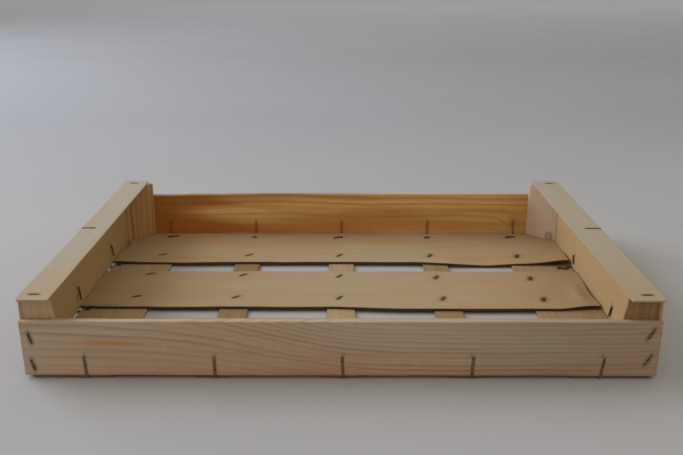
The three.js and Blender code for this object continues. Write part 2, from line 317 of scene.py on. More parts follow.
class Plank:
    """One board in its own frame: along the grain, across it and through it, from its middle."""

    def __init__(self, node, along, across, step, edge, seed, extra_along=(), extra_across=()):
        low, high = solid_box(node)
        self.node, self.edge, self.seed = node, edge, seed
        self.middle = (low + high) / 2
        self.axes = np.array((along, across, np.cross(along, across)))
        self.size = np.abs(self.axes @ (high - low))
        lengthwise = rim_samples(self.size[0], step, edge, extra_along)
        crosswise = rim_samples(self.size[1], step, edge, extra_across)
        self.along, self.across = np.meshgrid(lengthwise, crosswise, indexing="ij")
        self.shift_along, self.shift_across, self.warp = np.zeros((3, *self.along.shape))
        self.upper_cut, self.lower_cut = np.zeros((2, *self.along.shape))
        self.stain, self.knot_and_shade, self.heart = np.zeros((3, *self.along.shape))

    def blot(self, place, radius, strength, crown=X, span=0.0):
        """A stain round a fastener: a bell curve on the distance from its crown."""
        crown = (self.axes @ crown)[:2]
        centre = (self.axes @ (np.asarray(place) - self.middle))[:2]
        offset = np.stack((self.along, self.across), axis=-1) - centre
        run = np.clip(offset @ crown, -span / 2, span / 2)
        far = np.linalg.norm(offset - run[..., None] * crown, axis=-1)
        self.stain = np.maximum(self.stain, strength * bump(far, 0, radius))

    def blot_staples(self, first, last, radius, strength, part=1.0):
        """Stains along a part of the crown of every staple whose name has this start and this end."""
        for node, inward, way in frame_staples():
            if node.startswith(first) and node.endswith(last):
                middle, crown, span = staple_crown(node, inward, way)
                self.blot(middle, radius, strength, crown, part * span)

    def streak(self, along, across, half_length, half_width, strength):
        """A warm streak in the grain: a bell curve both ways."""
        self.heart += strength * bump(self.along, along, half_length) * bump(self.across, across, half_width)

    def darken(self, amount):
        """Wood darkened towards the stain colour, for knots and as painted shade, where it isn't darker
        already.
        """
        self.knot_and_shade = np.maximum(self.knot_and_shade, amount)

    def saw_uneven(self, amount):
        """Edges that wander a little along the board, as a saw leaves them."""
        half = self.size[1] / 2
        left = ripple(self.along, self.seed, 0.22) * step_up(self.across, half, -half)
        right = ripple(self.along, self.seed + 1, 0.19) * step_up(self.across, -half, half)
        self.shift_across -= amount * (np.abs(right) - np.abs(left))
        ends = ripple(self.across, self.seed + 2, 0.03) * np.sign(self.along)
        self.shift_along -= np.abs(ends) * amount * np.sign(self.along)

    def round_corners(self, radius):
        """Corners worn round: the square at each corner is drawn in to a quarter disc. The radius is one
        number or one for each point."""
        beyond = np.abs((self.along, self.across)) - self.size[:2, None, None] / 2 + radius
        beyond = np.clip(beyond, 0, None)
        draw = beyond.max(axis=0) / np.maximum(np.hypot(*beyond), 1e-9) - 1
        self.shift_along += np.sign(self.along) * beyond[0] * draw
        self.shift_across += np.sign(self.across) * beyond[1] * draw

    def build(self, material, slot, phase):
        """Both faces lie half the thickness from the warped middle sheet and round off at the rim."""
        inset = np.minimum(self.size[0] / 2 - np.abs(self.along), self.size[1] / 2 - np.abs(self.across))
        half = self.size[2] / 2 - eased_drop(inset, self.edge)
        moves = np.stack((self.shift_along, self.shift_across, self.warp), axis=-1)
        sheets, grain = [], []
        for through in (half - self.upper_cut, self.lower_cut - half):
            flat = np.stack((self.along, self.across, through), axis=-1)
            grain.append(flat.reshape(-1, 3))
            sheets.append(self.middle + (flat + moves) @ self.axes)
        grain = np.concatenate(grain)
        lines = {
            "grain": grain + self.seed * GRAIN_SHIFT,
            "phase": phase(*grain.T),
            "ply": grain[:, 2] / self.size[2],
        }
        marks = {"rim": bump(inset, 0, RIM_WIDTH)}
        marks |= {"stain": self.stain, "knot_and_shade": self.knot_and_shade, "heart": self.heart}
        marks = {label: np.tile(values.ravel(), 2) for label, values in marks.items()}
        name = self.node + "_surface"
        make_piece(name, *closed_sheets(*sheets), material, slot, (self.node,), **lines, **marks)


# Materials


class Graph:
    """A short way to write the nodes of a material or of the sky."""

    def __init__(self, owner):
        owner.use_nodes = True
        self.owner = owner
        self.tree = owner.node_tree
        self.shader = next(node for node in self.tree.nodes if node.type in ("BSDF_PRINCIPLED", "BACKGROUND"))

    def feed(self, socket, value):
        """Links an output to a socket, or sets the socket's own value."""
        if isinstance(value, bpy.types.NodeSocket):
            self.tree.links.new(value, socket)
        else:
            socket.default_value = value

    def node(self, kind, inputs, **options):
        """A node with its options set and its inputs fed."""
        node = self.tree.nodes.new(kind)
        for option, value in options.items():
            setattr(node, option, value)
        for socket, value in inputs.items():
            self.feed(node.inputs[socket], value)
        return node

    def attribute(self, label, output="Fac"):
        """A value that the piece's own surface carries."""
        return self.node("ShaderNodeAttribute", {}, attribute_name=label).outputs[output]

    def place(self, axis=None):
        """A point's place in the crate's frame, or only how far it lies along one axis."""
        point = self.node("ShaderNodeTexCoord", {}).outputs["Object"]
        return self.node("ShaderNodeSeparateXYZ", {0: point}).outputs[axis] if axis else point

    def math(self, operation, first, second=0.0, third=0.0):
        """One sum on numbers."""
        inputs = {0: first, 1: second, 2: third}
        return self.node("ShaderNodeMath", inputs, operation=operation).outputs[0]

    def times(self, first, second):
        """Two numbers multiplied."""
        return self.math("MULTIPLY", first, second)

    def noise(self, vector, scale, detail=2.0, roughness=0.5):
        """Soft noise, from 0 to 1, with so many waves to a metre on each axis."""
        drawn = self.node("ShaderNodeVectorMath", {0: vector, 1: scale}, operation="MULTIPLY").outputs[0]
        inputs = {"Vector": drawn, "Scale": 1.0, "Detail": detail, "Roughness": roughness}
        return self.node("ShaderNodeTexNoise", inputs).outputs["Fac"]

    def ramp(self, value, stops):
        """A curve through stops of place and height."""
        node = self.node("ShaderNodeValToRGB", {"Fac": value})
        elements = node.color_ramp.elements
        while len(elements) < len(stops):
            elements.new(0.5)
        for element, (place, height) in zip(elements, stops):
            element.position = place
            element.color = (height, height, height, 1)
        return node.outputs["Color"]

    def rise(self, value, low, high):
        """A straight rise from 0 at the low value to 1 at the high one."""
        return self.ramp(self.math("DIVIDE", self.math("SUBTRACT", value, low), high - low), ((0, 0), (1, 1)))

    def mix(self, factor, first, second, blend="MIX"):
        """Two colours mixed."""
        inputs = {0: factor, 6: first, 7: second}
        return self.node("ShaderNodeMix", inputs, data_type="RGBA", blend_type=blend).outputs[2]

    def finish(self, base, roughness, height, depth, strength):
        """Feeds the shader."""
        relief = self.node("ShaderNodeBump", {"Height": height, "Distance": depth, "Strength": strength})
        self.feed(self.shader.inputs["Base Color"], base)
        self.feed(self.shader.inputs["Roughness"], roughness)
        self.feed(self.shader.inputs["Normal"], relief.outputs["Normal"])
        return self.owner


def wood_finish(kind):
    """Bare wood: growth lines on the surface's own phase, warm patches and painted warm shade, fibres and
    pores drawn out along the grain, saw marks across it, plies along the rim, dark knots and painted shade,
    and rust stains."""
    wood = WOODS[kind]
    colours = bpy.context.scene.crate_colours
    early, late, heart = (tuple(getattr(colours, f"{kind}_{tone}")) for tone in TONES)
    stain = tuple(colours.rust_stain)
    graph = Graph(bpy.data.materials.new(f"{kind}_wood"))
    grain = graph.attribute("grain", "Vector")

    def noise(along, across, detail, roughness=0.5):
        """Noise with so many waves to a metre along the grain and across it."""
        return graph.noise(grain, (along, across, across), detail, roughness)

    turned = graph.math("MULTIPLY_ADD", noise(7, 70, 3), 1.1, graph.attribute("phase"))
    late_part = ((0.0, 0.0), (0.42, 0.1), (0.8, 1.0), (0.92, 0.8), (1.0, 0.0))
    latewood = graph.ramp(graph.math("FRACT", turned), late_part)
    ring = graph.node("ShaderNodeTexWhiteNoise", {"W": graph.math("FLOOR", turned)}, noise_dimensions="1D")
    strength = graph.math("MULTIPLY_ADD", ring.outputs["Value"], 0.75 * wood.lines, 0.25 * wood.lines)
    line = graph.times(graph.times(latewood, strength), graph.math("ADD", noise(5, 30, 1), 0.35))

    patch = graph.ramp(noise(5, 34, 3), ((0.4, 0.0), (0.72, 1.0)))
    # Warm patches: the wood's own, and painted warm shade where a piece adds it.
    warm = graph.math("MULTIPLY_ADD", patch, wood.patches, graph.attribute("heart"))
    base = graph.mix(line, graph.mix(warm, early, heart), late)

    fibre = noise(26, 1500, 3, 0.6)
    fibres = graph.math("ADD", graph.times(fibre, 0.6), graph.times(noise(9, 380, 2), 0.4))
    light = graph.ramp(fibres, ((0.25, 1.0 - wood.streaks), (0.5, 1.0), (0.8, 1.0 + 0.5 * wood.streaks)))
    base = graph.mix(1.0, base, light, "MULTIPLY")
    sawn = noise(620, 24, 2)
    marks = graph.ramp(sawn, ((0.3, 1.0 - wood.saw), (0.6, 1.0)))
    base = graph.mix(1.0, base, marks, "MULTIPLY")
    pore = graph.ramp(noise(70, 1100, 1), ((0.66, 0.0), (0.74, 1.0)))
    base = graph.mix(graph.times(pore, 0.35 * wood.streaks), base, late)

    depth = graph.math("ABSOLUTE", graph.attribute("ply"))
    layer = graph.ramp(depth, ((0.16, wood.plies), (0.2, PLAIN_RIM)))
    base = graph.mix(graph.times(graph.attribute("rim"), layer), base, late)
    # Darker towards the stain colour at knots, and as painted shade on slat edges, splits and ends.
    base = graph.mix(graph.attribute("knot_and_shade"), base, stain)
    base = graph.mix(graph.times(graph.attribute("stain"), graph.math("ADD", fibre, 0.5)), base, stain)

    roughness = graph.math("MULTIPLY_ADD", fibres, 0.25, 0.52)
    height = graph.math("SUBTRACT", fibres, graph.times(line, 0.5))
    height = graph.math("MULTIPLY_ADD", sawn, 4 * wood.saw, height)
    return graph.finish(base, roughness, height, 0.25 * MM, 0.5)


def wire_finish(name, brown_above=None):
    """Dull steel wire under patchy rust, found again if it was made before. Its rust may be brown above a
    level."""
    if name in bpy.data.materials:
        return bpy.data.materials[name]
    colours = bpy.context.scene.crate_colours
    rust, rusty = tuple(colours.rust), RUSTY[name]
    graph = Graph(bpy.data.materials.new(name))
    if brown_above:
        above = graph.rise(graph.place("Z"), brown_above, brown_above + 2 * MM)
        rust = graph.mix(above, rust, tuple(colours.brown_rust))
    place = graph.place()
    patch = graph.noise(place, (300, 300, 300), 4, 0.65)
    cover = graph.ramp(patch, ((0.62 - 0.4 * rusty, 0.0), (0.8 - 0.4 * rusty, 1.0)))
    grit = graph.noise(place, (2600, 2600, 2600), 2)
    base = graph.mix(cover, tuple(colours.steel), rust)
    base = graph.mix(graph.times(grit, 0.35), base, rust)
    graph.feed(graph.shader.inputs["Metallic"], graph.math("MULTIPLY_ADD", cover, -0.4, 0.5))
    graph.feed(graph.shader.inputs["Specular IOR Level"], 0.15)
    roughness = graph.math("MULTIPLY_ADD", cover, 0.3, 0.38)
    return graph.finish(base, roughness, grit, 0.08 * MM, 0.5)


# Wires


def rounded_path(corners, bend, step):
    """A path through corners, each turned by a curve that starts and ends one bend radius away, then
    sampled at even steps."""
    corners = np.asarray(corners, dtype=float)
    before = corners[1:-1] - corners[:-2]
    after = corners[2:] - corners[1:-1]
    before_length = np.linalg.norm(before, axis=1)
    after_length = np.linalg.norm(after, axis=1)
    reach = np.minimum(bend, 0.48 * np.minimum(before_length, after_length))
    start = (corners[1:-1] - before * (reach / before_length)[:, None])[:, None]
    end = (corners[1:-1] + after * (reach / after_length)[:, None])[:, None]
    part = np.linspace(0, 1, 9)[None, :, None]
    turn = (1 - part) ** 2 * start + 2 * part * (1 - part) * corners[1:-1, None] + part**2 * end
    path = np.concatenate((corners[:1], turn.reshape(-1, 3), corners[-1:]))
    walked = np.concatenate(((0.0,), np.cumsum(np.linalg.norm(np.diff(path, axis=0), axis=1))))
    even = np.linspace(0, walked[-1], max(6, round(walked[-1] / step)))
    return np.stack([np.interp(even, walked, path[:, axis]) for axis in range(3)], axis=1)


def wire_skin(path, sideways, width, thickness, around=12):
    """A flattened round section carried along a path, drawn in at both ends. Sideways is the way that
    the section's width points."""
    tangent = np.gradient(path, axis=0)
    tangent /= np.linalg.norm(tangent, axis=1)[:, None]
    across = sideways - tangent * (tangent @ sideways)[:, None]
    across /= np.linalg.norm(across, axis=1)[:, None]
    up = np.cross(across, tangent)
    angle = np.linspace(0, 2 * np.pi, around, endpoint=False)
    wide = np.sign(np.cos(angle)) * np.abs(np.cos(angle)) ** 0.75 * width / 2
    high = np.sign(np.sin(angle)) * np.abs(np.sin(angle)) ** 0.75 * thickness / 2
    draw = np.ones(len(path))
    draw[[0, -1]] = 0.55
    ring = across[:, None] * wide[None, :, None] + up[:, None] * high[None, :, None]
    points = path[:, None] + ring * draw[:, None, None]
    faces, index = tube_faces(len(path), around)
    ends = [index[0, :].tolist(), index[-1, ::-1].tolist()]
    return points.reshape(-1, 3), faces, ends


def corner_wire(
    node, wall, slat, wall_inside, slat_inside, fold, turn=0.0, lean=0.0, wave=0.0, finish=None,
    hang=(2.4, 0), deeper=0.0, lower=0.0, thick=1.0, wide=1.0,
):
    """A wire round a corner of two boards. Wall and slat are the inward ways of the two outer faces; the
    wire goes through the wall, along both outer faces and through the slat, and both ends are folded
    over. The fold on the slat is turned out of the wire's plane and may wave, and the wire leans. The
    fold on the wall hangs down to a height over the slat and stands off the wall, both in millimetres.
    The leg through the slat may lie deeper in than that of the solid and the leg through the wall lower,
    and the wire may be thicker or narrower."""
    sizes = bpy.context.scene.crate_sizes
    low, high = solid_box(node)
    sideways = np.cross(wall, slat)
    thickness = sizes.wire_thickness * thick
    half = thickness / 2 + HAIR
    lie = sizes.clearance + half

    def reach(axis):
        ends = sorted((axis @ low, axis @ high))
        return ends[0] + half, ends[1] - half

    wall_run, slat_leg = reach(wall)
    slat_leg += deeper
    slat_run, wall_leg = reach(slat)
    wall_leg -= lower
    middle = sideways @ (low + high) / 2
    folded = -wall * math.cos(turn) + sideways * math.sin(turn)
    beside = np.cross(slat, folded)

    def at(inward, upward, aside=0.0):
        return wall * inward + slat * upward + sideways * (middle + aside)

    leg = at(slat_leg, slat_inside + lie)
    part = np.linspace(0, 1, 9)[1:, None]
    corners = (
        at(wall_inside + lie + hang[1] * MM, slat_inside + hang[0] * MM, -0.4 * lean),
        at(wall_inside + lie, wall_leg, lean),
        at(wall_run, wall_leg, lean),
        at(wall_run, slat_run),
        at(slat_leg, slat_run),
        leg,
        *(leg + folded * fold * part + beside * wave * np.sin(3 * np.pi * part)),
    )
    path = rounded_path(corners, sizes.wire_bend, step=0.6 * MM)
    points, faces, ends = wire_skin(path, sideways, sizes.wire_width * wide, thickness)
    material = finish or wire_finish("rusty_wire")
    make_piece(node + "_bent", points, faces, material, "steel_wire", (node,), ends)


def staple(name, middle, crown, inward, span, leg, material, nodes=()):
    """A staple: a straight crown on the face with a leg down at each end."""
    sizes = bpy.context.scene.crate_sizes
    half = crown * span / 2
    corners = (middle - half + inward * leg, middle - half, middle + half, middle + half + inward * leg)
    path = rounded_path(corners, sizes.staple_bend, step=0.5 * MM)
    sideways = np.cross(crown, inward)
    points, faces, ends = wire_skin(path, sideways, sizes.staple_width, sizes.staple_thickness, around=10)
    make_piece(name, points, faces, material, "steel_wire", nodes, ends)


def staple_crown(node, inward, way):
    """Crown of a staple of the frame, from its solid's box: its middle, its direction and its length. The
    box's longer sides along the face give the lean, and way gives the sign of it."""
    sizes = bpy.context.scene.crate_sizes
    low, high = solid_box(node)
    crown = np.sign(way) * np.clip(high - low - SOLID_STAPLE_WIRE, 0, None) * (1 - np.abs(inward))
    span = np.linalg.norm(crown)
    face = inward * (min(inward @ low, inward @ high) + sizes.staple_thickness / 2 + HAIR)
    return (low + high) / 2 * (1 - np.abs(inward)) + face, crown / span, span


def frame_staples():
    """Every staple of the frame: its solid, its inward way and the sign of its crown's lean."""
    rows = []
    for row, inward in zip(SIDES, (Y, -Y)):
        for end, outward in zip(ENDS, (-X, X)):
            rows.append((f"{row}_{end}_cap_staple", -Z, X + Y + Z))
            for level in ("lower", "upper"):
                rows.append((f"{row}_{end}_{level}_side_staple", inward, outward + Y + Z))
                rows.append((f"{row}_{end}_{level}_panel_staple", -outward, X + Y + Z))
    return rows


def floor_staple_places(row):
    """Where a floor slat is stapled to each cross slat: two rows on the middle slat, one on each outer
    slat. The rows slant a little, and the crowns turn from one cross slat to the next. Gives the place,
    the crown's direction and how dark the stain round it is."""
    low, high = solid_box(f"{row}_floor_slat")
    # A row's place at the middle cross slat, its slant, the distance between its staples and its shift.
    lines = {
        "front": ((high[1] - 27 * MM, -1 * MM, 118.5 * MM, -1 * MM),),
        "middle": ((-28 * MM, -2 * MM, 119.5 * MM, -1.9 * MM), (36.5 * MM, -3.6 * MM, 118.8 * MM, -2.4 * MM)),
        "rear": ((low[1] + 26 * MM, -1 * MM, 118.5 * MM, -2.6 * MM),),
    }
    counts = (-1.962, -1, 0, 1, 1.962)
    turns = np.radians((27, 42, 57, 66, 74))
    stains = (0.6, 0.65, 0.75, 0.9, 1.0)
    places = []
    for y, slant, apart, aside in lines[row]:
        for count, turn, stained in zip(counts, turns, stains):
            middle = np.array((apart * count + aside, y + slant * count, high[2]))
            places.append((middle, X * math.cos(turn) + Y * math.sin(turn), stained))
    return places


# Growth lines


def front_lines(along, across, through):
    """Growth lines of the front board: their slope is a bell curve left of the middle and turns up again
    at the right end, and they lie closer together towards the right."""
    stations = np.linspace(-0.32, 0.32, 400)
    slope = -0.17 * bump(stations, -0.075, 0.105) + 0.035 * step_up(stations, 0.12, 0.3)
    drop = np.cumsum(slope) * (stations[1] - stations[0])
    apart = 4.7 * MM + 3.6 * MM * step_up(along, 0.02, -0.25)
    return (across - np.interp(along, stations, drop)) / apart + through / (9 * MM)


def rear_knot(along, across, longer):
    """Distance from the knotty spot near the right end of the rear board, which is longer than it is wide."""
    return np.hypot((along - 0.244) / longer, across + 0.0107)


def rear_lines(along, across, through):
    """Growth lines of the rear board: wide and nearly level, bulging round the knot."""
    around = bump(rear_knot(along, across, 1.7), 0, 0.012)
    wave = 2.4 * MM * np.sin(along / 0.09) + 1.2 * MM * np.sin(along / 0.037 + 1)
    return (across + wave) / (9 * MM) + 1.6 * around + through / (12 * MM)


def straight_lines(apart, wave, longest, seed):
    """Growth lines that run straight along a piece with a slow wave."""

    def lines(along, across, through):
        return (across + wave * ripple(along, seed, longest)) / apart + through / (1.7 * apart)

    return lines


def peeled_lines(apart, seed):
    """Faint wide bands of wood that was peeled off a turning log: level curves of slow waves."""

    def lines(along, across, through):
        slow = ripple(along, seed, 0.5) + 0.7 * ripple(across + 0.12 * along, seed + 3, 0.09)
        return across / apart + 0.9 * slow + through / (40 * MM)

    return lines


# Operators


class CRATE_OT_side_boards(bpy.types.Operator):
    """Dress the two long side boards in sawn pine"""

    bl_idname = "crate.side_boards"
    bl_label = "Side boards"

    def execute(self, context):
        sizes = context.scene.crate_sizes
        for seed, (side, dress) in enumerate(zip(SIDES, (self.dress_front, self.dress_rear))):
            plank = Plank(f"{side}_side_board", X, Z, sizes.board_step, sizes.edge, 11 + 10 * seed)
            plank.saw_uneven(0.5 * MM)
            plank.warp += 0.25 * MM * ripple(plank.along, 5 + seed, 0.4)
            dress(plank)
        return {"FINISHED"}

    def dress_front(self, plank):
        """A resin streak at the left, a warm lower edge, darker to the right (partly the wood's own tone,
        partly painted shade), and dark torn fibres round the staples and the wires."""
        plank.streak(-0.218, 6.2 * MM, 0.032, 3.2 * MM, 0.85)
        plank.streak(0.0, -0.5 * plank.size[1], 0.4, 9 * MM, 0.3)
        # Darker to the right: partly the wood's own tone, partly painted shade.
        plank.darken(0.22 * step_up(plank.along, 0.04, 0.25))
        plank.blot_staples("front", "side_staple", 2.2 * MM, 0.7)
        for column in COLUMNS:
            plank.blot(wire_top(f"front_{column}_side_wire"), 2.0 * MM, 0.5)
        plank.build(wood_finish("front"), "side_pine", front_lines)

    def dress_rear(self, plank):
        """Dark and reddish to the left, partly the wood's own tone and partly painted shade beside the left
        end, with a pale tongue in it, a knotty spot near the right end, and rust round the wires' upper ends
        and below them."""
        # Dark and reddish to the left: partly the wood's own tone, partly painted shade beside the left end.
        plank.heart = 0.24 + 0.8 * step_up(plank.along, -0.12, -0.25) - 0.22 * step_up(plank.along, 0, 0.15)
        plank.streak(-0.18, 18 * MM, 0.03, 3 * MM, 0.7)
        plank.streak(-0.19, -18 * MM, 0.06, 9 * MM, 0.5)
        plank.streak(-0.16, 4 * MM, 0.05, 6 * MM, -0.9)
        plank.streak(0.1, 17 * MM, 0.16, 5 * MM, -0.4)
        plank.streak(0.16, -14 * MM, 0.09, 8 * MM, 0.35)
        plank.darken(0.3 * bump(rear_knot(plank.along, plank.across, 1.6), 0, 4.2 * MM))
        half = plank.size[1] / 2
        plank.shift_across -= 2.4 * MM * step_up(plank.along, -0.1, -0.27) * step_up(plank.across, 0, half)
        for column in COLUMNS:
            top = wire_top(f"rear_{column}_side_wire")
            plank.blot(top * (1, 1, 0.8), 2.0 * MM, 0.25, Z, 8 * MM)
            plank.blot(top, 1.7 * MM, 0.5)
        plank.build(wood_finish("rear"), "side_pine", rear_lines)


class CRATE_OT_end_panels(bpy.types.Operator):
    """Dress the two thin end panels"""

    bl_idname = "crate.end_panels"
    bl_label = "End panels"

    def execute(self, context):
        sizes = context.scene.crate_sizes
        finish = wood_finish("ply")
        for seed, (end, along) in enumerate(zip(ENDS, (Y, -Y))):
            plank = Plank(f"{end}_end_panel", along, Z, sizes.board_step, sizes.veneer_edge, 31 + seed)
            plank.saw_uneven(0.35 * MM)
            half = plank.size[1] / 2
            plank.shift_across += (sizes.cap_thin - CAP_GAP) * step_up(plank.across, half - 9 * MM, half)
            for row, way in zip(SIDES, (-along[1], along[1])):
                tip = np.abs(solid_box(f"{row}_{end}_post")).min(axis=0)[1]
                plank.upper_cut += sizes.rebate * step_up(way * plank.along, tip + 3 * MM, tip + 6 * MM)
                top = wire_top(f"{row}_{end}_end_wire")
                plank.blot(top - Z * END_WIRE_DROP[end], 2.6 * MM, 0.5)
            plank.build(finish, "end_plywood", peeled_lines(apart=16 * MM, seed=41 + seed))
        return {"FINISHED"}


class CRATE_OT_caps(bpy.types.Operator):
    """Dress the two caps over the ends, with worn corners"""

    bl_idname = "crate.caps"
    bl_label = "Caps"

    def execute(self, context):
        sizes = context.scene.crate_sizes
        finish = wood_finish("cap")
        for seed, end in enumerate(ENDS):
            node = f"{end}_cap"
            low, high = solid_box(node)
            worn = np.linspace(0, sizes.cap_corner, 7)[1:-1]
            by_end, by_side = ((high - low)[axis] / 2 - worn for axis in (1, 0))
            close = {"extra_along": (*by_end, *-by_end), "extra_across": (*by_side, *-by_side)}
            plank = Plank(node, Y, -X, sizes.board_step, sizes.veneer_edge, 51 + seed, **close)
            plank.saw_uneven(0.5 * MM)
            plank.lower_cut += sizes.cap_thin
            side = -1 if end == "left" else 1
            inwards = plank.across * side
            sharp = (inwards > 0) & (plank.along < 0)
            plank.round_corners(np.where(sharp, sizes.veneer_edge, sizes.cap_corner))
            rear, front = (0.0, 0.15) if end == "left" else (-0.45, 0.55)
            taper = sizes.cap_taper * (rear + (front - rear) * step_up(plank.along, 0.2, -0.2))
            plank.shift_across -= taper * side * step_up(inwards, 0, plank.size[1] / 2)
            plank.heart = 0.8 * step_up(plank.along, -0.03, -0.19)
            plank.blot_staples("", f"{end}_cap_staple", 2.0 * MM, 0.95, 0.8)
            plank.build(finish, "cap_plywood", peeled_lines(apart=9 * MM, seed=61 + seed))
        return {"FINISHED"}


class CRATE_OT_cross_slats(bpy.types.Operator):
    """Dress the five cross slats under the floor, with the grooves that the wires are pulled into"""

    bl_idname = "crate.cross_slats"
    bl_label = "Cross slats"

    def execute(self, context):
        finish = wood_finish("cross")
        for seed, (node, column) in enumerate(zip(CROSS_SLATS, COLUMNS)):
            wires = [f"{side}_{column}_side_wire" for side in SIDES]
            if "end" in node:
                wires += [f"{row}_{node.split('_')[0]}_end_wire" for row in SIDES]
            self.dress(node, wires, 71 + seed, finish, context.scene.crate_sizes)
        return {"FINISHED"}

    def dress(self, node, wires, seed, finish, sizes):
        """One slat. A groove has the plan of its wire's box, runs on past the leg of an end wire or of a rear
        wire and is as deep as the wire is thick, with sloping sides."""
        half = sizes.wire_width / 2 + sizes.clearance
        slope = 0.3 * MM
        boxes = [solid_box(wire) for wire in wires]
        middle = solid_middle(node)
        sides = np.array((-half - slope, -half, half, half + slope))
        along = [sum(box)[1] / 2 - middle[1] + sides for box in boxes[2:]]
        across = [middle[0] - sum(box)[0] / 2 + sides for box in boxes[:2]]
        extra = {"extra_along": np.concatenate((*along, ())), "extra_across": np.concatenate(across)}
        plank = Plank(node, Y, -X, sizes.board_step, sizes.veneer_edge, seed, **extra)
        place_x = middle[0] - plank.across
        place_y = middle[1] + plank.along
        depth = sizes.wire_thickness + 2 * sizes.clearance
        for wire, (low, high) in zip(wires, boxes):
            if "end_wire" in wire:
                low, high = low - X * 10 * MM * (middle[0] > 0), high + X * 10 * MM * (middle[0] < 0)
            elif wire.startswith("rear"):
                low = low - Y * REAR_LEG_DEEPER
            grow = half - np.min(high - low) / 2
            outside = np.stack((low[0] - place_x, place_x - high[0], low[1] - place_y, place_y - high[1]))
            groove = depth * step_up(outside.max(axis=0), grow + slope, grow)
            plank.lower_cut = np.maximum(plank.lower_cut, groove)
        plank.saw_uneven(0.5 * MM)
        if node == "right_end_cross_slat":
            rim = -plank.size[1] / 2
            plank.shift_across -= 1.7 * MM * step_up(plank.across, 5 * MM + rim, rim)
        warm, dark = {
            "left_cross_slat": (0.55, 0.2),
            "right_cross_slat": (0.45, 0.18),
            "right_end_cross_slat": (0.2, 0.06),
        }.get(node, (0.0, 0.0))
        plank.heart += warm
        # Each slat's own darker tone, and ends darkened: end grain, and painted shade under the side boards.
        plank.darken(np.maximum(dark, 0.65 * bump(plank.size[0] / 2 - np.abs(plank.along), 0, 0.4 * MM)))
        lines = straight_lines(apart=7 * MM, wave=5 * MM, longest=0.3, seed=10 + seed)
        plank.build(finish, "cross_pine", lines)


